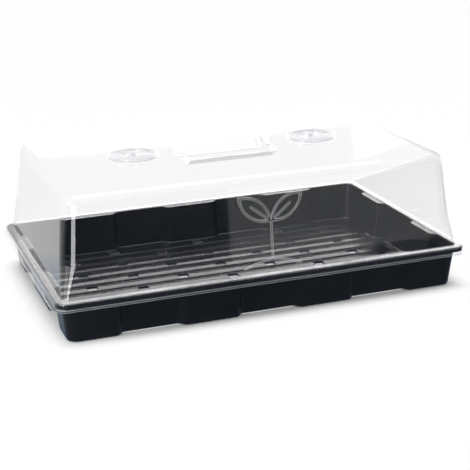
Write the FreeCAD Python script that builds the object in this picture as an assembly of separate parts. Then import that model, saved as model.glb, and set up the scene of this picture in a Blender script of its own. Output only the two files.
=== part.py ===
import FreeCAD, Part
import math
import os

# A seed tray under a clear vented dome, in millimetres.
# The origin is at the centre of the footprint, on the surface the tray stands on.
# X runs along the length, Y from front to back, Z up.

Vector = FreeCAD.Vector
UP = Vector(0, 0, 1)

# Seed tray: walls and rim
TRAY_SHEET = 1.2  # thickness of the formed black sheet
TRAY_FOOT_LENGTH = 560.0  # outside the walls, at the floor
TRAY_FOOT_WIDTH = 350.0
TRAY_HEIGHT = 59.0  # to the top of the rim
TRAY_WALL_LEAN = 0.1  # outward run of a wall for each unit of height
TRAY_CORNER_RADIUS = 15.0
FOOT_EDGE_RADIUS = 3.5  # rounding between the walls and the underside
RIM_WIDTH = 7.9  # flat rim outside the walls
RIM_SKIRT_DROP = 6.0  # how far the rim turns down
RIM_EDGE_RADIUS = 1.6

# Seed tray: stepped walls
INSET_DEPTH = 9.5  # how far an inset stands back from the bays beside it
INSET_STEP_RADIUS = 5.0
SIDE_INSET_SLOPE = 9.0  # length of the slanted step, along the long walls
SIDE_INSETS = ((-204.0, -129.0), (-37.0, 37.0), (129.0, 204.0))
END_INSET_SLOPE = 6.0
END_INSETS = ((-114.0, -56.0), (56.0, 114.0))

# Seed tray: floor
RIDGE_PITCH = 28.5
RIDGE_RISE = 4.0
RIDGE_FOOT_WIDTH = 26.5
RIDGE_TOP_WIDTH = 21.0
RIDGE_END_SLOPE = 6.0  # run of the slope at each end of a ridge
RIDGE_END_RADIUS = 6.0
RIDGE_TO_WALL = 10.0  # clear floor between a ridge's end and the wall
GUTTER_WIDTH = 7.0  # least clear floor between the outermost ridge and a long wall
SLOT_LENGTH = 16.0  # drainage slot, along the ridge
SLOT_WIDTH = 17.0
SLOT_RADIUS = 2.5
SLOT_PITCH = 68.5
SLOT_TO_RIDGE_END = 12.0  # least flat length of a ridge beyond its last slot

# Dome
DOME_SHEET = 0.9  # thickness of the formed clear sheet
SEAT_GAP = 0.3  # between the dome's flange and the tray's rim
DOME_LIP = 5.0  # outward lip at the bottom of the dome's skirt
DOME_SKIRT_DROP = 10.0  # from the top of the flange to the bottom of the lip
DOME_FLANGE_WIDTH = 10.0
DOME_EDGE_RADIUS = 2.0
DOME_RISE = 133.0  # from the flange to the roof
DOME_WALL_LEAN = 0.1  # inward run of a wall for each unit of height
DOME_FOOT_RADIUS = 10.0
DOME_KNEE_RISE = 43.0  # where the widening upright corner reaches its full radius
DOME_KNEE_RADIUS = 26.0
DOME_TOP_RADIUS = 25.0
ROOF_EDGE_RADIUS = 13.0

# Moulded grip in the roof, with a finger scoop in front and behind
GRIP_LENGTH = 128.0
GRIP_WIDTH = 27.0  # across its crest
GRIP_RISE = 13.0  # above the roof
GRIP_LEAN = 0.15
GRIP_CORNER_RADIUS = 4.0
GRIP_EDGE_RADIUS = 2.5
GRIP_WAVE_HEIGHT = 1.0  # from the middle line of the wavy crest
GRIP_WAVES = 1.5
SCOOP_DEPTH = 12.0  # below the roof
SCOOP_REACH = 34.0  # from the grip's face, at the roof
SCOOP_FLOOR_REACH = 10.0
SCOOP_CORNER_RADIUS = 2.5
SCOOP_END_MARGIN = 1.0  # how far a scoop ends short of the grip's end

# Vents
VENT_SPACING = 272.0  # between the two vent centres
SEAT_RADIUS = 34.6  # raised round seat under a dial
SEAT_RISE = 3.0
SEAT_EDGE_RADIUS = 1.5
VENT_SECTOR_ANGLE = 76.0  # of each of a vent's two openings, in degrees
VENT_INNER_RADIUS = 9.5
VENT_OUTER_RADIUS = 24.0
VENT_CORNER_RADIUS = 1.5
DIAL_SHEET = 1.0
DIAL_GAP = 0.3  # between the dial and the seat, above and around
DIAL_SKIRT_GAP = 0.8  # between the dial's skirt and the roof
DIAL_BAND_RADIUS = 27.0  # inner edge of the dial's raised band
DIAL_BAND_RISE = 1.2
DIAL_EDGE_RADIUS = 0.8
TAB_RISE = 5.0  # the dial's two finger tabs
TAB_LENGTH = 14.0
TAB_THICKNESS = 3.2
TAB_INNER_RADIUS = 10.0
TAB_END_RADIUS = 1.45
TAB_EDGE_RADIUS = 0.8
RIVET_RADIUS = 3.0
RIVET_RUNNING_GAP = 0.06
RIVET_HEAD_RADIUS = 6.5
RIVET_HEAD_RISE = 2.4
RIVET_HEAD_EDGE_RADIUS = 1.5
RIVET_HEAD_GAP = 0.2  # between the head and the dial
RIVET_FOOT_RADIUS = 5.0
RIVET_FOOT_THICKNESS = 1.6
RIVET_FOOT_EDGE_RADIUS = 0.5

# Embossed sprout on the front wall
EMBLEM_X = 4.0
EMBLEM_RISE = 70.0  # of the leaves' root, above the flange
EMBLEM_LINE_WIDTH = 2.2
EMBLEM_PROUD = 0.8
LEAF_LENGTH = 58.0
LEAF_BULGE = 13.0  # of each side of a leaf, from its centre line
LEAF_TIP_WIDTH = 4.0  # of the outline at each end of a leaf
LEAF_MIDLINE_LENGTH = 36.0
LEAF_TILT = 38.0  # above the horizontal, in degrees
STEM_LENGTH = 52.0
MOUND_WIDTH = 84.0
MOUND_RISE = 10.0

# Places that follow from the sizes above
RIM_HALF_X = TRAY_FOOT_LENGTH / 2 + TRAY_WALL_LEAN * TRAY_HEIGHT + RIM_WIDTH
RIM_HALF_Y = TRAY_FOOT_WIDTH / 2 + TRAY_WALL_LEAN * TRAY_HEIGHT + RIM_WIDTH
SKIRT_HALF_X = RIM_HALF_X + SEAT_GAP + DOME_SHEET
SKIRT_HALF_Y = RIM_HALF_Y + SEAT_GAP + DOME_SHEET
RIM_CORNER_RADIUS = TRAY_CORNER_RADIUS
SKIRT_CORNER_RADIUS = RIM_CORNER_RADIUS + SEAT_GAP + DOME_SHEET
FLANGE_TOP = TRAY_HEIGHT + SEAT_GAP + DOME_SHEET
ROOF = FLANGE_TOP + DOME_RISE
CREST = ROOF + GRIP_RISE
SEAT_TOP = ROOF + SEAT_RISE
DIAL_UNDERSIDE = SEAT_TOP + DIAL_GAP
DIAL_TOP = DIAL_UNDERSIDE + DIAL_SHEET
DIAL_RADIUS = SEAT_RADIUS + DIAL_GAP + DIAL_SHEET
VENTS = {"left": -VENT_SPACING / 2, "right": VENT_SPACING / 2}
PAST = 5.0  # how far a cutting solid runs past the face that it opens


def rounded_loop(points, radii, z):
    """A closed wire at height z through the points, with each corner rounded."""
    starts, middles, ends = [], [], []
    for i, (x, y) in enumerate(points):
        corner = Vector(x, y, z)
        before = Vector(*points[i - 1], z) - corner
        after = Vector(*points[(i + 1) % len(points)], z) - corner
        before.normalize()
        after.normalize()
        half = before.getAngle(after) / 2
        run = radii[i] / math.tan(half)
        middle_way = before + after
        middle_way.normalize()
        starts.append(corner + before * run)
        ends.append(corner + after * run)
        middles.append(corner + middle_way * (radii[i] / math.sin(half) - radii[i]))
    edges = []
    for i in range(len(points)):
        edges.append(Part.Arc(starts[i], middles[i], ends[i]).toShape())
        edges.append(Part.LineSegment(ends[i], starts[(i + 1) % len(points)]).toShape())
    return Part.Wire(edges)


def inset_points(points, radii, inset):
    """Anticlockwise points moved inwards by inset, and the radii that go with them."""
    new_points, new_radii = [], []
    for i, (x, y) in enumerate(points):
        x0, y0 = points[i - 1]
        x1, y1 = points[(i + 1) % len(points)]
        first = math.hypot(x - x0, y - y0)
        second = math.hypot(x1 - x, y1 - y)
        ax, ay = -(y - y0) / first, (x - x0) / first
        bx, by = -(y1 - y) / second, (x1 - x) / second
        share = inset / (1 + ax * bx + ay * by)
        new_points.append((x + (ax + bx) * share, y + (ay + by) * share))
        convex = ay * bx - ax * by < 0
        new_radii.append(radii[i] - inset if convex else radii[i] + inset)
    return new_points, new_radii


def rectangle(half_x, half_y, centre_y=0.0):
    """The four corners of a rectangle, anticlockwise."""
    low, high = centre_y - half_y, centre_y + half_y
    return [(-half_x, low), (half_x, low), (half_x, high), (-half_x, high)]


def rounded_box(half_x, half_y, radius, bottom, top):
    """An upright block with rounded corners."""
    wire = rounded_loop(rectangle(half_x, half_y), [radius] * 4, bottom)
    return Part.Face(wire).extrude(UP * (top - bottom))


def loft(wires):
    """A solid with straight sides between the wires."""
    return Part.makeLoft(wires, True, True)


def edges_at(shape, z):
    """The edges of a shape that lie flat at height z."""
    found = []
    for edge in shape.Edges:
        box = edge.BoundBox
        if abs(box.ZMin - z) < 1e-4 and abs(box.ZMax - z) < 1e-4:
            found.append(edge)
    return found


def stepped_wall(half_length, distance, insets, slope):
    """Points along one wall from its start to its end, as (along, outward) pairs."""
    points = [(-half_length, distance)]
    for start, end in insets:
        points.append((start - slope, distance))
        points.append((start, distance - INSET_DEPTH))
        points.append((end, distance - INSET_DEPTH))
        points.append((end + slope, distance))
    return points


def tray_points(z):
    """The outside of the tray's walls at height z, anticlockwise, with the radii."""
    half_x = TRAY_FOOT_LENGTH / 2 + TRAY_WALL_LEAN * z
    half_y = TRAY_FOOT_WIDTH / 2 + TRAY_WALL_LEAN * z
    side = stepped_wall(half_x, half_y, SIDE_INSETS, SIDE_INSET_SLOPE)
    end = stepped_wall(half_y, half_x, END_INSETS, END_INSET_SLOPE)
    points = [(along, -out) for along, out in side]
    points += [(out, along) for along, out in end]
    points += [(-along, out) for along, out in side]
    points += [(-out, -along) for along, out in end]
    wall = [TRAY_CORNER_RADIUS] + [INSET_STEP_RADIUS] * (len(side) - 1)
    end_wall = [TRAY_CORNER_RADIUS] + [INSET_STEP_RADIUS] * (len(end) - 1)
    return points, wall + end_wall + wall + end_wall


def tray_block(inset, bottom, top, edge_radius):
    """The block inside the tray's walls, moved inwards, with its bottom edge rounded."""
    wires = []
    for z in (bottom, top):
        points, radii = tray_points(z)
        wires.append(rounded_loop(*inset_points(points, radii, inset), z))
    block = loft(wires)
    return block.makeFillet(edge_radius, edges_at(block, bottom))


def ridge_half_length(y):
    """Half the length of the ridge at y: it stops short of a bay or of an inset."""
    wall = TRAY_FOOT_LENGTH / 2 - TRAY_SHEET
    for start, end in END_INSETS:
        if start - END_INSET_SLOPE < abs(y) < end + END_INSET_SLOPE:
            wall -= INSET_DEPTH
    return wall - RIDGE_TO_WALL


def ridge(y, inset, bottom):
    """One floor ridge, or with an inset the hollow under it."""
    half_length = ridge_half_length(y)
    foot = rectangle(half_length - inset, RIDGE_FOOT_WIDTH / 2 - inset, y)
    crown_x = half_length - RIDGE_END_SLOPE - inset
    crown = rectangle(crown_x, RIDGE_TOP_WIDTH / 2 - inset, y)
    radii = [RIDGE_END_RADIUS - inset] * 4
    return loft([rounded_loop(foot, radii, bottom), rounded_loop(crown, radii, bottom + RIDGE_RISE)])


def both_ways(reach, pitch):
    """The numbers of the places, a pitch apart and counted from the middle, within reach."""
    most = int(reach / pitch)
    return range(-most, most + 1)


def ridge_rows():
    """Each ridge's number, counted from the centre line, and its place."""
    reach = TRAY_FOOT_WIDTH / 2 - INSET_DEPTH - TRAY_SHEET - GUTTER_WIDTH - RIDGE_FOOT_WIDTH / 2
    return [(number, number * RIDGE_PITCH) for number in both_ways(reach, RIDGE_PITCH)]


def slot_places():
    """Slot centres: every other column on each ridge, staggered from ridge to ridge."""
    places = []
    for row, y in ridge_rows():
        reach = ridge_half_length(y) - RIDGE_END_SLOPE - SLOT_TO_RIDGE_END - SLOT_LENGTH / 2
        columns = both_ways(reach, SLOT_PITCH)
        places += [(column * SLOT_PITCH, y) for column in columns if (row + column) % 2]
    return places


def slot_block(x, y, grow, bottom, top):
    """An upright block over a drainage slot, grown outwards."""
    block = rounded_box(
        SLOT_LENGTH / 2 + grow, SLOT_WIDTH / 2 + grow, SLOT_RADIUS + grow, bottom, top
    )
    return block.translated(Vector(x, y, 0))


def make_seed_tray():
    """One formed sheet: rim, stepped walls, ridged floor and drainage slots."""
    skirt_bottom = TRAY_HEIGHT - RIM_SKIRT_DROP
    rim = rounded_box(RIM_HALF_X, RIM_HALF_Y, RIM_CORNER_RADIUS, skirt_bottom, TRAY_HEIGHT)
    rim = rim.makeFillet(RIM_EDGE_RADIUS, edges_at(rim, TRAY_HEIGHT))
    under_rim = rounded_box(
        RIM_HALF_X - TRAY_SHEET,
        RIM_HALF_Y - TRAY_SHEET,
        RIM_CORNER_RADIUS - TRAY_SHEET,
        skirt_bottom - PAST,
        TRAY_HEIGHT - TRAY_SHEET,
    )
    outside = tray_block(0, 0, TRAY_HEIGHT, FOOT_EDGE_RADIUS)
    cavity = tray_block(TRAY_SHEET, TRAY_SHEET, TRAY_HEIGHT + PAST, FOOT_EDGE_RADIUS - TRAY_SHEET)
    ridges = [ridge(y, 0, TRAY_SHEET) for _, y in ridge_rows()]
    hollows = [ridge(y, TRAY_SHEET, 0) for _, y in ridge_rows()]
    ridge_top = TRAY_SHEET + RIDGE_RISE
    collars = [slot_block(x, y, TRAY_SHEET, 0, ridge_top) for x, y in slot_places()]
    collars = Part.makeCompound(collars).common(Part.makeCompound(ridges))
    slots = [slot_block(x, y, 0, -PAST, ridge_top + PAST) for x, y in slot_places()]
    tray = outside.fuse(rim.cut(under_rim)).cut(cavity.cut(ridges))
    tray = tray.cut(hollows).fuse(collars.Solids).cut(slots)
    return tray.removeSplitter()


def dome_half_sizes(z):
    """Half the length and width outside the dome's walls at height z."""
    lean = DOME_WALL_LEAN * (z - FLANGE_TOP)
    return SKIRT_HALF_X - DOME_FLANGE_WIDTH - lean, SKIRT_HALF_Y - DOME_FLANGE_WIDTH - lean


def dome_body(inset, bottom):
    """The block inside the dome's walls and roof, moved inwards."""
    knee = FLANGE_TOP + DOME_KNEE_RISE
    wires = []
    for z, radius in (
        (bottom, DOME_FOOT_RADIUS),
        (knee, DOME_KNEE_RADIUS),
        (ROOF - inset, DOME_TOP_RADIUS),
    ):
        half_x, half_y = dome_half_sizes(z)
        corners = rectangle(half_x - inset, half_y - inset)
        wires.append(rounded_loop(corners, [radius - inset] * 4, z))
    body = loft(wires)
    return body.makeFillet(ROOF_EDGE_RADIUS - inset, edges_at(body, ROOF - inset))


def grip_half_sizes(z):
    """Half the grip's length and width at height z: its faces lean outwards to the foot."""
    lean = GRIP_LEAN * (CREST - z)
    return GRIP_LENGTH / 2 + lean, GRIP_WIDTH / 2 + lean


def grip_block(inset):
    """The raised grip, with a wavy crest, down to the floor of the scoops."""
    bottom = ROOF - SCOOP_DEPTH
    top = CREST + PAST
    wires = []
    for z in (bottom, top):
        half_x, half_y = grip_half_sizes(z)
        radius = GRIP_CORNER_RADIUS + GRIP_LEAN * (CREST - z) - inset
        wires.append(rounded_loop(rectangle(half_x - inset, half_y - inset), [radius] * 4, z))
    reach = GRIP_LENGTH / 2 + PAST
    steps = 2 * math.ceil(4 * GRIP_WAVES)
    crest_points = []
    for i in range(steps + 1):
        x = reach * (2 * i / steps - 1)
        wave = math.cos(2 * math.pi * GRIP_WAVES * x / GRIP_LENGTH)
        z = CREST - GRIP_WAVE_HEIGHT - inset - GRIP_WAVE_HEIGHT * wave
        crest_points.append(Vector(x, -GRIP_WIDTH, z))
    crest = Part.BSplineCurve()
    crest.interpolate(crest_points)
    left, right = crest_points[0], crest_points[-1]
    corners = [right, Vector(reach, -GRIP_WIDTH, bottom), Vector(-reach, -GRIP_WIDTH, bottom), left]
    sides = [Part.LineSegment(a, b).toShape() for a, b in zip(corners, corners[1:])]
    profile = Part.Face(Part.Wire([crest.toShape()] + sides))
    grip = loft(wires).common(profile.extrude(Vector(0, 2 * GRIP_WIDTH, 0)))
    lowest = CREST - 2.5 * GRIP_WAVE_HEIGHT - inset
    return grip.makeFillet(GRIP_EDGE_RADIUS - inset, [e for e in grip.Edges if e.BoundBox.ZMin > lowest])


def scoop_block(side, grow):
    """A finger scoop on one side of the grip, grown into the dome."""
    mouth_half_x = grip_half_sizes(ROOF)[0] - SCOOP_END_MARGIN
    wires = []
    for z, reach in ((ROOF - SCOOP_DEPTH, SCOOP_FLOOR_REACH), (ROOF, SCOOP_REACH)):
        half_x = mouth_half_x - GRIP_LEAN * (ROOF - z)
        centre = side * (grip_half_sizes(z)[1] + reach / 2)
        corners = rectangle(half_x + grow, reach / 2 + grow, centre)
        wires.append(rounded_loop(corners, [SCOOP_CORNER_RADIUS + grow] * 4, z - grow))
    return loft(wires)


def sector(inner, outer, angle, centre_angle, bottom, top):
    """An upright ring sector about the origin, with rounded corners."""
    ring = Part.makeCylinder(outer, top - bottom, Vector(0, 0, bottom))
    ring = ring.cut(Part.makeCylinder(inner, top - bottom, Vector(0, 0, bottom)))
    half = math.radians(angle / 2)
    middle = math.radians(centre_angle)
    far = 2 * outer
    ends = [Vector(far * math.cos(a), far * math.sin(a), bottom) for a in (middle - half, middle + half)]
    wedge = Part.Face(Part.makePolygon([Vector(0, 0, bottom)] + ends + [Vector(0, 0, bottom)]))
    block = ring.common(wedge.extrude(UP * (top - bottom)))
    upright = [e for e in block.Edges if e.BoundBox.ZLength > 0.9 * (top - bottom)]
    return block.makeFillet(VENT_CORNER_RADIUS, upright)


def vent_sectors(bottom, top):
    """A vent's two openings, in front of its centre and behind it."""
    return [
        sector(VENT_INNER_RADIUS, VENT_OUTER_RADIUS, VENT_SECTOR_ANGLE, middle, bottom, top)
        for middle in (90, 270)
    ]


def rivet_bore():
    """The bore for a rivet's shank, through a vent seat and its dial."""
    height = DIAL_TOP - ROOF + 2 * PAST
    return Part.makeCylinder(RIVET_RADIUS + RIVET_RUNNING_GAP, height, Vector(0, 0, ROOF - PAST))


def vent_seat(inset):
    """The raised round seat of a vent, moved inwards."""
    height = SEAT_RISE + PAST
    seat = Part.makeCylinder(SEAT_RADIUS - inset, height, Vector(0, 0, SEAT_TOP - inset - height))
    return seat.makeFillet(SEAT_EDGE_RADIUS - inset, edges_at(seat, SEAT_TOP - inset))


def lens(length, bulge):
    """A leaf outline from the origin along +X, made of two arcs."""
    tip = Vector(length, 0, 0)
    upper = Part.Arc(Vector(0, 0, 0), Vector(length / 2, bulge, 0), tip).toShape()
    lower = Part.Arc(tip, Vector(length / 2, -bulge, 0), Vector(0, 0, 0)).toShape()
    return Part.Face(Part.Wire([upper, lower]))


def leaf(tilt):
    """An outlined leaf with its mid-line, tilted about its root."""
    width = EMBLEM_LINE_WIDTH
    inner = lens(LEAF_LENGTH - 2 * LEAF_TIP_WIDTH, LEAF_BULGE - width)
    inner.translate(Vector(LEAF_TIP_WIDTH, 0, 0))
    line = Part.makePlane(LEAF_MIDLINE_LENGTH, width, Vector(0, -width / 2, 0))
    shape = lens(LEAF_LENGTH, LEAF_BULGE).cut(inner).fuse(line)
    shape.rotate(Vector(0, 0, 0), UP, tilt)
    return shape


def emblem():
    """A sprout with two leaves over a mound, flat on the XY plane."""
    width = EMBLEM_LINE_WIDTH
    stem_foot = Vector(-width / 2, -STEM_LENGTH - width / 2, 0)
    stem = Part.makePlane(width, STEM_LENGTH + width / 2, stem_foot)
    half = MOUND_WIDTH / 2
    radius = (half**2 + MOUND_RISE**2) / (2 * MOUND_RISE)
    centre = Vector(0, -STEM_LENGTH - radius, 0)
    outer, inner = [
        Part.Face(Part.Wire(Part.Circle(centre, UP, r).toShape())) for r in (radius, radius - width)
    ]
    window = Part.makePlane(MOUND_WIDTH, MOUND_RISE, Vector(-half, -STEM_LENGTH - MOUND_RISE, 0))
    mound = outer.cut(inner).common(window)
    return stem.multiFuse([leaf(LEAF_TILT), leaf(180 - LEAF_TILT), mound])


def emblem_on_wall():
    """The emblem, standing proud of the dome's front wall."""
    height = FLANGE_TOP + EMBLEM_RISE
    _, half_y = dome_half_sizes(height)
    proud = emblem().extrude(UP * (EMBLEM_PROUD + DOME_SHEET / 2))
    proud.translate(UP * (-DOME_SHEET / 2))
    lean = math.degrees(math.atan(DOME_WALL_LEAN))
    proud.rotate(Vector(0, 0, 0), Vector(1, 0, 0), 90 - lean)
    proud.translate(Vector(EMBLEM_X, -half_y, height))
    return proud


def make_dome():
    """One formed clear sheet: lip, skirt, flange, walls, roof, grip, scoops and vent seats."""
    lip_bottom = FLANGE_TOP - DOME_SKIRT_DROP
    lip = rounded_box(
        SKIRT_HALF_X + DOME_LIP,
        SKIRT_HALF_Y + DOME_LIP,
        SKIRT_CORNER_RADIUS + DOME_LIP,
        lip_bottom,
        lip_bottom + DOME_SHEET,
    )
    skirt = rounded_box(SKIRT_HALF_X, SKIRT_HALF_Y, SKIRT_CORNER_RADIUS, lip_bottom, FLANGE_TOP)
    skirt = skirt.makeFillet(DOME_EDGE_RADIUS, edges_at(skirt, FLANGE_TOP))
    under_skirt = rounded_box(
        SKIRT_HALF_X - DOME_SHEET,
        SKIRT_HALF_Y - DOME_SHEET,
        SKIRT_CORNER_RADIUS - DOME_SHEET,
        lip_bottom - PAST,
        FLANGE_TOP - DOME_SHEET,
    )
    under_skirt = under_skirt.makeFillet(
        DOME_EDGE_RADIUS - DOME_SHEET, edges_at(under_skirt, FLANGE_TOP - DOME_SHEET)
    )
    outer = skirt.fuse(lip).fuse(dome_body(0, FLANGE_TOP))
    inner = dome_body(DOME_SHEET, FLANGE_TOP - PAST / 2)
    for x in VENTS.values():
        outer = outer.fuse(vent_seat(0).translated(Vector(x, 0, 0)))
        inner = inner.fuse(vent_seat(DOME_SHEET).translated(Vector(x, 0, 0)))
    outer = outer.fuse(emblem_on_wall())
    outer = outer.cut([scoop_block(side, 0) for side in (-1, 1)]).fuse(grip_block(0))
    inner = inner.cut([scoop_block(side, DOME_SHEET) for side in (-1, 1)]).fuse(grip_block(DOME_SHEET))
    dome = outer.cut(under_skirt).cut(inner)
    openings = vent_sectors(ROOF - PAST, SEAT_TOP + PAST)
    openings.append(rivet_bore())
    for x in VENTS.values():
        dome = dome.cut([opening.translated(Vector(x, 0, 0)) for opening in openings])
    return dome.removeSplitter()


def make_dial(x):
    """A round shutter with a raised band, a down-turned edge and two finger tabs."""
    band_top = DIAL_TOP + DIAL_BAND_RISE
    skirt_bottom = ROOF + DIAL_SKIRT_GAP
    outline = Part.makeCylinder(DIAL_RADIUS, band_top - skirt_bottom, Vector(0, 0, skirt_bottom))
    outline = outline.makeFillet(DIAL_EDGE_RADIUS, edges_at(outline, band_top))
    well = Part.makeCylinder(DIAL_BAND_RADIUS, DIAL_BAND_RISE + PAST, Vector(0, 0, DIAL_TOP))
    under = Part.makeCylinder(
        SEAT_RADIUS + DIAL_GAP, DIAL_UNDERSIDE - skirt_bottom + PAST, Vector(0, 0, skirt_bottom - PAST)
    )
    under_band = Part.makeCylinder(SEAT_RADIUS + DIAL_GAP, DIAL_BAND_RISE, Vector(0, 0, DIAL_UNDERSIDE))
    under_band = under_band.cut(
        Part.makeCylinder(DIAL_BAND_RADIUS + DIAL_SHEET, DIAL_BAND_RISE, Vector(0, 0, DIAL_UNDERSIDE))
    )
    dial = outline.cut([well, under, under_band])
    for side in (-1, 1):
        tab_x = side * (TAB_INNER_RADIUS + TAB_LENGTH / 2)
        tab_top = DIAL_TOP + TAB_RISE
        tab = rounded_box(TAB_LENGTH / 2, TAB_THICKNESS / 2, TAB_END_RADIUS, DIAL_TOP, tab_top)
        tab = tab.makeFillet(TAB_EDGE_RADIUS, edges_at(tab, tab_top))
        dial = dial.fuse(tab.translated(Vector(tab_x, 0, 0)))
    dial = dial.cut(vent_sectors(ROOF, DIAL_TOP + PAST) + [rivet_bore()])
    return dial.removeSplitter().translated(Vector(x, 0, 0))


def make_rivet(x):
    """A snap rivet: foot under the dome, shank through the bore, domed head over the dial."""
    foot_top = SEAT_TOP - DOME_SHEET
    head_bottom = DIAL_TOP + RIVET_HEAD_GAP
    foot = Part.makeCylinder(
        RIVET_FOOT_RADIUS, RIVET_FOOT_THICKNESS, Vector(0, 0, foot_top - RIVET_FOOT_THICKNESS)
    )
    foot = foot.makeFillet(RIVET_FOOT_EDGE_RADIUS, edges_at(foot, foot_top - RIVET_FOOT_THICKNESS))
    shank = Part.makeCylinder(RIVET_RADIUS, head_bottom - foot_top, Vector(0, 0, foot_top))
    head = Part.makeCylinder(RIVET_HEAD_RADIUS, RIVET_HEAD_RISE, Vector(0, 0, head_bottom))
    head = head.makeFillet(RIVET_HEAD_EDGE_RADIUS, edges_at(head, head_bottom + RIVET_HEAD_RISE))
    return foot.multiFuse([shank, head]).removeSplitter().translated(Vector(x, 0, 0))


def export(name, shape):
    """Writes one sub-part after checking that it is a single sound solid."""
    if len(shape.Solids) != 1 or not shape.isValid():
        raise ValueError(f"{name} is not one valid solid: {len(shape.Solids)} solids")
    solid = shape.Solids[0]
    solid.exportStep(f"parts/{name}.step")
    box = solid.optimalBoundingBox(False)
    print(f"{name}: {solid.Volume:.0f} mm3, x {box.XMin:.2f} {box.XMax:.2f}", end="")
    print(f", y {box.YMin:.2f} {box.YMax:.2f}, z {box.ZMin:.2f} {box.ZMax:.2f}")


os.makedirs("parts", exist_ok=True)
export("seed_tray", make_seed_tray())
export("dome", make_dome())
for place, vent_x in VENTS.items():
    export(f"vent_dial_{place}", make_dial(vent_x))
    export(f"vent_rivet_{place}", make_rivet(vent_x))
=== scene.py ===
import math

import bpy
from mathutils import Euler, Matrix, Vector


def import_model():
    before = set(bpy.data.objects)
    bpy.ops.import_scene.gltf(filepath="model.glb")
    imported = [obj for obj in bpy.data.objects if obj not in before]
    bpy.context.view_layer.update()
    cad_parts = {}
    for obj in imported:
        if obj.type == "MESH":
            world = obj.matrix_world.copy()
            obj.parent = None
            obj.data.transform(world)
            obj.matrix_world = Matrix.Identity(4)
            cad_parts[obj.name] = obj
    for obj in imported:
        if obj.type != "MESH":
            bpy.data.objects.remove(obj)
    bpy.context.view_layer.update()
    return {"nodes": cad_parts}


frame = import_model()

# Looks, light and camera for the humidity dome tray, in metres, watts and degrees.
# The CAD nodes keep their shapes. The script gives them materials and a set to stand in.

# Camera, on a sphere round a point in the middle of the tray
CAMERA_TARGET = Vector((0.014, 0.0, 0.057))
CAMERA_DISTANCE = 1.829
CAMERA_AZIMUTH = -19.62
CAMERA_ELEVATION = 18.14
CAMERA_ROLL = -1.32
CAMERA_LENS = 94.5  # in millimetres, as is the sensor
CAMERA_SENSOR = 36.0
CAMERA_NEAR = 0.01
CAMERA_FAR = 60.0

# Lamps: place, point aimed at, width and height, and watts
LAMPS = {
    "overhead": ((0.0, 0.15, 1.7), (0.0, 0.0, 0.0), (1.8, 1.2), 16.0),
    "left": ((-1.7, -0.45, 0.75), (0.0, 0.0, 0.1), (0.9, 1.3), 8.0),
    # mirrored in the dome's nearest upright corner
    "left_strip": ((-0.478, -0.375, 0.11), (-0.28, -0.17, 0.11), (0.13, 0.2), 0.75),
    # low and close behind, mirrored in the flange and the floor ridges
    "back_strip": ((0.215, 0.35, 0.15), (0.215, 0.0, 0.15), (0.93, 0.24), 1.3),
    # mirrored in the right half of the dome's front wall
    "front_panel": ((0.38, -0.6, 0.11), (0.38, 0.0, 0.11), (0.58, 0.2), 0.29),
}

# The set: white behind and above, and in mirrors a dark, cool grey room in front
WORLD_FILL = 0.75  # light that surfaces get from all round
FRONT_MIRRORED = 0.12
BACK_MIRRORED = 0.93
BACK_FLOOR_MIRRORED = 0.86
WORLD_FADE_Y = (-0.4, 0.3)  # of a direction's Y, from front to back
WORLD_FADE_Z = (0.15, 0.6)  # of a direction's Z, from near the horizon up
WORLD_ABOVE = (0.0, 0.9)  # how white the set is there and overhead
ROOM = (0.74, 1.0, 1.36, 1.0)
WHITE = (1.0, 1.0, 1.0, 1.0)

# The floor, which shows the camera a soft shadow round the tray's foot.
# A distance past the foot's outline is negative inside it.
FLOOR_RADIUS = 12.0
FLOOR_DROP = 0.0004  # below the tray's underside
FLOOR_FADE_Y = (-0.2, 0.25)  # from front to back, in what mirrors show
FLOOR_PALE = (0.86, 0.86, 0.86, 1.0)
FLOOR_PAINTED_SHADE = (0.25, 0.25, 0.25, 1.0)  # painted shade: the floor darker under the tray, seen through its slots
FLOOR_PAINTED_SHADE_EDGE = (-0.03, -0.005)  # past the foot, where the painted shade turns pale
FLOOR_WHITE_SHARE = 0.96  # of the floor's own light in what the camera sees
CONTACT_EDGE = (0.0, 0.03)  # past the foot, where the soft shadow ends
FOOT_HALF = (0.280, 0.175)  # of the tray's foot
PAINTED_SLOT_LIGHT = 0.5  # painted light: a white glow on the floor under the slots in the tray's front half
PAINTED_SLOT_LIGHT_FADE_Y = (0.012, 0.05)  # where it ends
PAINTED_SLOT_LIGHT_EDGE = -0.01  # past the foot

# The tray's floor ridges, which are slightly crowned
RIDGE_PITCH = 0.0285
RIDGE_TOP = 0.0052
RIDGE_CROWN = 0.0004
RIDGE_MARGIN = 0.001  # above their tops

# Where most numbers of a noise pattern lie
NOISE_SPREAD = (0.3, 0.7)

# How alike a face's own and its rounded direction are, off an edge and on one
BEND_SPREAD = (0.995, 0.85)
BEND_SAMPLES = 4

# Black sheet
BLACK = (0.0036, 0.0038, 0.0042, 1.0)
BLACK_FADED = (0.0062, 0.0065, 0.0070, 1.0)
BLACK_WORN = (0.06, 0.062, 0.066, 1.0)
BLACK_ROUGHNESS = (0.19, 0.25)
ROUGH_SPREAD = (0.7, 1.3)  # of the sum of two noise patterns
STREAK_SCALE = (30.0, 30.0, 6.0)
PLASTIC_IOR = 1.5
WEAR_REACH = 0.0012  # from an edge
WEAR_SPREAD = (0.35, 0.7)  # of a noise pattern
WEAR_SHARE = (0.1, 0.8)  # of an edge, in patches
WEAR_PALENESS = 0.35
WEAR_ROUGHNESS = 0.1
RIPPLE_HEIGHT = 0.0005
GRAIN_HEIGHT = 0.00002
GRAIN_STRENGTH = 0.5

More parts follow.
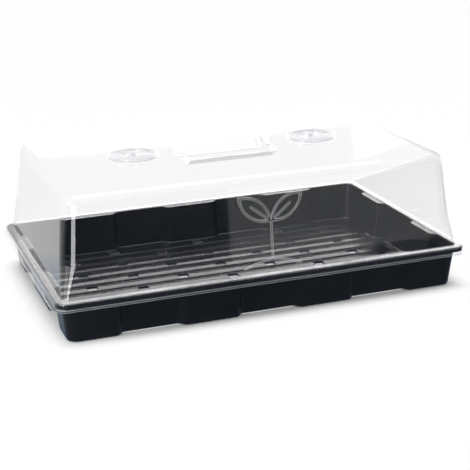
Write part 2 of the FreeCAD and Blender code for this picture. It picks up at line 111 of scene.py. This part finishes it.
# Clear sheet
CLEAR_TINT = (0.997, 0.993, 0.996, 1.0)  # let through by one face of it
# Edge tints: painted shade, a darker see-through colour along the sheet's edges and bends.
EDGE_PAINTED_SHADE_TINT = (0.84, 0.84, 0.86, 1.0)
VENT_TINT = (0.972, 0.970, 0.975, 1.0)
VENT_EDGE_PAINTED_SHADE_TINT = (0.70, 0.70, 0.73, 1.0)
SHEET_IOR = 1.35
FINE_WAVES = 1 / 30  # height of the fine waves, as a share of the slow ones'
# Also the colour of the painted highlight along edges and bends.
HAZE_AND_PAINTED_HIGHLIGHT_COLOUR = (0.9, 0.92, 0.93, 1.0)
HAZE_ROUGHNESS = 0.5
# Painted highlight: milky white along edges and bends.
EDGE_PAINTED_HIGHLIGHT = 0.3
SCUFF_SCALE = (160.0, 160.0, 900.0)
SCUFF_SPREAD = (0.6, 0.85)  # of a noise pattern
SCUFF_MILK = (0.0, 0.015)
SHINE_ROUGHNESS = (0.03, 0.09)


class Graph:
    """A material's or a world's nodes, built by short calls."""

    def __init__(self, owner):
        owner.use_nodes = True
        self.tree = owner.node_tree
        self.tree.nodes.clear()

    def node(self, kind, settings=None, **inputs):
        """Adds a node. Inputs are values or sockets: _0 is the first, and in a name _ is a space."""
        made = self.tree.nodes.new(kind)
        for name, value in (settings or {}).items():
            setattr(made, name, value)
        for name, value in inputs.items():
            key = int(name[1:]) if name[1:].isdigit() else name.replace("_", " ")
            self.join(value, made.inputs[key])
        return made

    def join(self, value, socket):
        """Links a socket, or sets a plain value."""
        if isinstance(value, bpy.types.NodeSocket):
            self.tree.links.new(value, socket)
        else:
            socket.default_value = value

    def maths(self, operation, first, second=0.0):
        """One operation on two numbers."""
        return self.node("ShaderNodeMath", {"operation": operation}, _0=first, _1=second).outputs[0]

    def place(self):
        """Where a point lies in the shared frame."""
        return self.node("ShaderNodeTexCoord").outputs["Object"]

    def axes(self, where):
        """The three numbers of a place or a direction."""
        return self.node("ShaderNodeSeparateXYZ", _0=where).outputs

    def noise(self, where, scale, detail=3.0):
        """A noise pattern's number, scale to the metre."""
        return self.node(
            "ShaderNodeTexNoise", Vector=where, Scale=scale, Detail=detail, Roughness=0.5
        ).outputs[0]

    def stretch(self, where, scale):
        """Coordinates scaled along each axis."""
        return self.node("ShaderNodeMapping", Vector=where, Scale=scale).outputs[0]

    def ranged(self, value, source, target=(0.0, 1.0)):
        """A number carried from the source range to the target range, and held inside it."""
        return self.node(
            "ShaderNodeMapRange", _0=value, _1=source[0], _2=source[1], _3=target[0], _4=target[1]
        ).outputs[0]

    def blend(self, share, first, second):
        """A mix of two colours."""
        made = self.node("ShaderNodeMix", {"data_type": "RGBA"})
        self.join(share, made.inputs[0])
        self.join(first, made.inputs[6])
        self.join(second, made.inputs[7])
        return made.outputs[2]

    def bump(self, height, distance, normal=None, strength=1.0):
        """A bump whose full height is distance metres, on top of another where one is given."""
        made = self.node("ShaderNodeBump", Height=height, Distance=distance, Strength=strength)
        if normal is not None:
            self.join(normal, made.inputs["Normal"])
        return made.outputs[0]

    def edges(self, reach):
        """1 along edges and tight bends, out to reach metres, and 0 on flat faces."""
        rounded = self.node("ShaderNodeBevel", {"samples": BEND_SAMPLES}, Radius=reach).outputs[0]
        own = self.node("ShaderNodeNewGeometry").outputs["Normal"]
        dot = {"operation": "DOT_PRODUCT"}
        alike = self.node("ShaderNodeVectorMath", dot, _0=rounded, _1=own).outputs[1]
        return self.ranged(alike, BEND_SPREAD)

    def mix_shader(self, share, first, second):
        """A mix of two shaders."""
        return self.node("ShaderNodeMixShader", _0=share, _1=first, _2=second).outputs[0]

    def light(self, kind, colour, strength):
        """A plain light of a surface or of the world."""
        return self.node(kind, Color=colour, Strength=strength).outputs[0]

    def finish(self, shader, kind="ShaderNodeOutputMaterial"):
        """The output."""
        self.node(kind, Surface=shader)


def black_colour(g, cloud, wear):
    """Black that fades a little in patches and is paler where it is worn."""
    colour = g.blend(g.ranged(cloud, NOISE_SPREAD), BLACK, BLACK_FADED)
    return g.blend(g.maths("MULTIPLY", wear, WEAR_PALENESS), colour, BLACK_WORN)


def black_normal(g, where):
    """The ridges' crown, a slow ripple in the sheet and a fine grain."""
    _, y, z = g.axes(where)
    wave = g.maths("COSINE", g.maths("MULTIPLY", y, 2 * math.pi / RIDGE_PITCH))
    on_floor = g.maths("LESS_THAN", z, RIDGE_TOP + RIDGE_MARGIN)
    normal = g.bump(g.maths("MULTIPLY", wave, on_floor), RIDGE_CROWN)
    normal = g.bump(g.noise(where, scale=16.0, detail=1.0), RIPPLE_HEIGHT, normal)
    return g.bump(g.noise(where, scale=1800.0, detail=2.0), GRAIN_HEIGHT, normal, GRAIN_STRENGTH)


def black_sheet():
    """Vacuum-formed black sheet: satin, with a fine grain, drawn streaks and pale worn edges."""
    material = bpy.data.materials.new("black_sheet")
    g = Graph(material)
    where = g.place()
    cloud = g.noise(where, scale=7.0, detail=4.0)
    streak = g.noise(g.stretch(where, STREAK_SCALE), scale=1.0, detail=2.0)
    rubbed = g.ranged(g.noise(where, scale=90.0, detail=4.0), WEAR_SPREAD, WEAR_SHARE)
    wear = g.maths("MULTIPLY", g.edges(WEAR_REACH), rubbed)
    rough = g.ranged(g.maths("ADD", cloud, streak), ROUGH_SPREAD, BLACK_ROUGHNESS)
    shader = g.node(
        "ShaderNodeBsdfPrincipled",
        Base_Color=black_colour(g, cloud, wear),
        Roughness=g.maths("ADD", rough, g.maths("MULTIPLY", wear, WEAR_ROUGHNESS)),
        IOR=PLASTIC_IOR,
        Normal=black_normal(g, where),
    )
    g.finish(shader.outputs[0])
    return material


def clear_plastic(name, tint, edge_painted_shade_tint, edge_reach, haze, waviness):
    """Thin clear sheet: what is behind it, a mirror by the angle, a little haze and scuffing, and
    painted shade and painted highlight along its edges and bends.

    The face that a ray enters by has both faces' mirror and all the haze and painted highlight, and
    the other has none.
    """
    material = bpy.data.materials.new(name)
    g = Graph(material)
    where = g.place()
    normal = g.bump(g.noise(where, scale=9.0, detail=1.0), waviness)
    normal = g.bump(g.noise(where, scale=60.0, detail=2.0), waviness * FINE_WAVES, normal)
    mirror = g.node("ShaderNodeFresnel", IOR=SHEET_IOR, Normal=normal).outputs[0]
    both_faces = g.maths("DIVIDE", g.maths("MULTIPLY", mirror, 2.0), g.maths("ADD", mirror, 1.0))
    outward = g.maths("SUBTRACT", 1.0, g.node("ShaderNodeNewGeometry").outputs["Backfacing"])
    # Along edges and bends: painted shade in the see-through tint, and painted highlight as milky
    # white.
    painted_bend_mask = g.edges(edge_reach)
    rubbed = g.noise(g.stretch(where, SCUFF_SCALE), scale=1.0, detail=4.0)
    scuffs = g.ranged(rubbed, SCUFF_SPREAD, SCUFF_MILK)
    # Painted highlight along edges and bends, with scuffs and haze, as milky white.
    scuff_haze_and_painted_highlight = g.maths("ADD", g.maths("ADD", g.maths("MULTIPLY", painted_bend_mask, EDGE_PAINTED_HIGHLIGHT), scuffs), haze)
    # Painted shade: the see-through colour is darker along edges and bends.
    see = g.node("ShaderNodeBsdfTransparent", Color=g.blend(painted_bend_mask, tint, edge_painted_shade_tint)).outputs[0]
    haze_and_painted_highlight_shader = g.node(
        "ShaderNodeBsdfPrincipled", Base_Color=HAZE_AND_PAINTED_HIGHLIGHT_COLOUR, Roughness=HAZE_ROUGHNESS, Normal=normal
    ).outputs[0]
    body = g.mix_shader(g.maths("MULTIPLY", scuff_haze_and_painted_highlight, outward), see, haze_and_painted_highlight_shader)
    shine_rough = g.ranged(g.noise(where, scale=30.0), NOISE_SPREAD, SHINE_ROUGHNESS)
    shine = g.node(
        "ShaderNodeBsdfGlossy", Color=WHITE, Roughness=shine_rough, Normal=normal
    ).outputs[0]
    g.finish(g.mix_shader(g.maths("MULTIPLY", both_faces, outward), body, shine))
    return material


def mirrored_room(g, kind, back, back_strength):
    """What mirrors show: the dark room in front, and white where back is 1."""
    strength = g.ranged(back, (0.0, 1.0), (FRONT_MIRRORED, back_strength))
    return g.light(kind, g.blend(back, ROOM, WHITE), strength)


def floor_material():
    """White to the camera but for a soft shadow, and darker in front in mirrors."""
    material = bpy.data.materials.new("floor")
    g = Graph(material)
    path = g.node("ShaderNodeLightPath").outputs
    x, y, _ = g.axes(g.place())
    out_x, out_y = [
        g.maths("SUBTRACT", g.maths("ABSOLUTE", along), half) for along, half in zip((x, y), FOOT_HALF)
    ]
    past_foot = g.maths("MAXIMUM", out_x, out_y)
    # Painted light: a white glow on the floor under the slots in the tray's front half.
    under = g.maths("LESS_THAN", past_foot, PAINTED_SLOT_LIGHT_EDGE)
    painted_slot_light = g.maths("MULTIPLY", under, g.ranged(y, PAINTED_SLOT_LIGHT_FADE_Y, (PAINTED_SLOT_LIGHT, 0.0)))
    open_floor = g.ranged(past_foot, CONTACT_EDGE, (0.0, FLOOR_WHITE_SHARE))
    # Painted shade: the floor's colour is darker under the tray, seen through its slots.
    colour = g.blend(g.ranged(past_foot, FLOOR_PAINTED_SHADE_EDGE), FLOOR_PAINTED_SHADE, FLOOR_PALE)
    lit = g.node("ShaderNodeBsdfDiffuse", Color=colour).outputs[0]
    white = g.light("ShaderNodeEmission", WHITE, 1.0)
    seen = g.mix_shader(g.maths("MAXIMUM", open_floor, painted_slot_light), lit, white)
    back = g.ranged(y, FLOOR_FADE_Y)
    mirrored = mirrored_room(g, "ShaderNodeEmission", back, BACK_FLOOR_MIRRORED)
    plain = g.mix_shader(path["Is Glossy Ray"], lit, mirrored)
    g.finish(g.mix_shader(path["Is Camera Ray"], plain, seen))
    return material


def floor():
    """A round pale floor."""
    bpy.ops.mesh.primitive_circle_add(vertices=96, radius=FLOOR_RADIUS, fill_type="NGON")
    ground = bpy.context.object
    ground.name = "floor"
    ground.location.z = -FLOOR_DROP
    ground.data.materials.append(floor_material())


def world():
    """White to the camera, even fill for surfaces, and a studio that is darker in front in mirrors."""
    studio = bpy.data.worlds.new("studio")
    bpy.context.scene.world = studio
    g = Graph(studio)
    path = g.node("ShaderNodeLightPath").outputs
    _, way_y, way_z = g.axes(g.node("ShaderNodeTexCoord").outputs["Generated"])
    behind = g.ranged(way_y, WORLD_FADE_Y)
    above = g.ranged(way_z, WORLD_FADE_Z, WORLD_ABOVE)
    back = g.maths("MAXIMUM", behind, above)
    fill = g.light("ShaderNodeBackground", WHITE, WORLD_FILL)
    white = g.light("ShaderNodeBackground", WHITE, 1.0)
    mirrored = mirrored_room(g, "ShaderNodeBackground", back, BACK_MIRRORED)
    lit = g.mix_shader(path["Is Glossy Ray"], fill, mirrored)
    g.finish(g.mix_shader(path["Is Camera Ray"], lit, white), "ShaderNodeOutputWorld")


def softbox(name, place, aim, size, watts):
    """An area lamp that faces aim. The camera sees it only in mirrors."""
    data = bpy.data.lights.new(name, "AREA")
    data.shape = "RECTANGLE"
    data.size, data.size_y = size
    data.energy = watts
    lamp = bpy.data.objects.new(name, data)
    lamp.location = place
    lamp.rotation_euler = (Vector(aim) - Vector(place)).to_track_quat("-Z", "Y").to_euler()
    lamp.visible_camera = False
    bpy.context.scene.collection.objects.link(lamp)


def camera():
    """The camera on its sphere round the target."""
    azimuth, elevation = math.radians(CAMERA_AZIMUTH), math.radians(CAMERA_ELEVATION)
    level = math.cos(elevation)
    back = Vector((math.sin(azimuth) * level, -math.cos(azimuth) * level, math.sin(elevation)))
    data = bpy.data.cameras.new("camera")
    data.lens = CAMERA_LENS
    data.sensor_width = CAMERA_SENSOR
    data.clip_start = CAMERA_NEAR
    data.clip_end = CAMERA_FAR
    eye = bpy.data.objects.new("camera", data)
    eye.location = CAMERA_TARGET + back * CAMERA_DISTANCE
    roll = Euler((0, 0, math.radians(CAMERA_ROLL))).to_matrix()
    eye.rotation_euler = ((-back).to_track_quat("-Z", "Y").to_matrix() @ roll).to_euler()
    bpy.context.scene.collection.objects.link(eye)
    bpy.context.scene.camera = eye


def dress(names, material):
    """Gives CAD nodes a material."""
    for name in names:
        node = frame["nodes"][name]
        node.data.materials.clear()
        node.data.materials.append(material)


dress(["seed_tray"], black_sheet())
dome_sheet = clear_plastic(
    "clear_sheet", CLEAR_TINT, EDGE_PAINTED_SHADE_TINT, edge_reach=0.0022, haze=0.0, waviness=0.0006
)
dress(["dome"], dome_sheet)
vent_plastic = clear_plastic(
    "vent_plastic", VENT_TINT, VENT_EDGE_PAINTED_SHADE_TINT, edge_reach=0.0012, haze=0.015, waviness=0.0002
)
dress([name for name in frame["nodes"] if name.startswith("vent_")], vent_plastic)

floor()
world()
for name, (place, aim, size, watts) in LAMPS.items():
    softbox(name, place, aim, size, watts)
camera()

scene = bpy.context.scene
scene.view_settings.view_transform = "Standard"
scene.cycles.transparent_max_bounces = 32
scene.cycles.max_bounces = 16
scene.cycles.glossy_bounces = 8
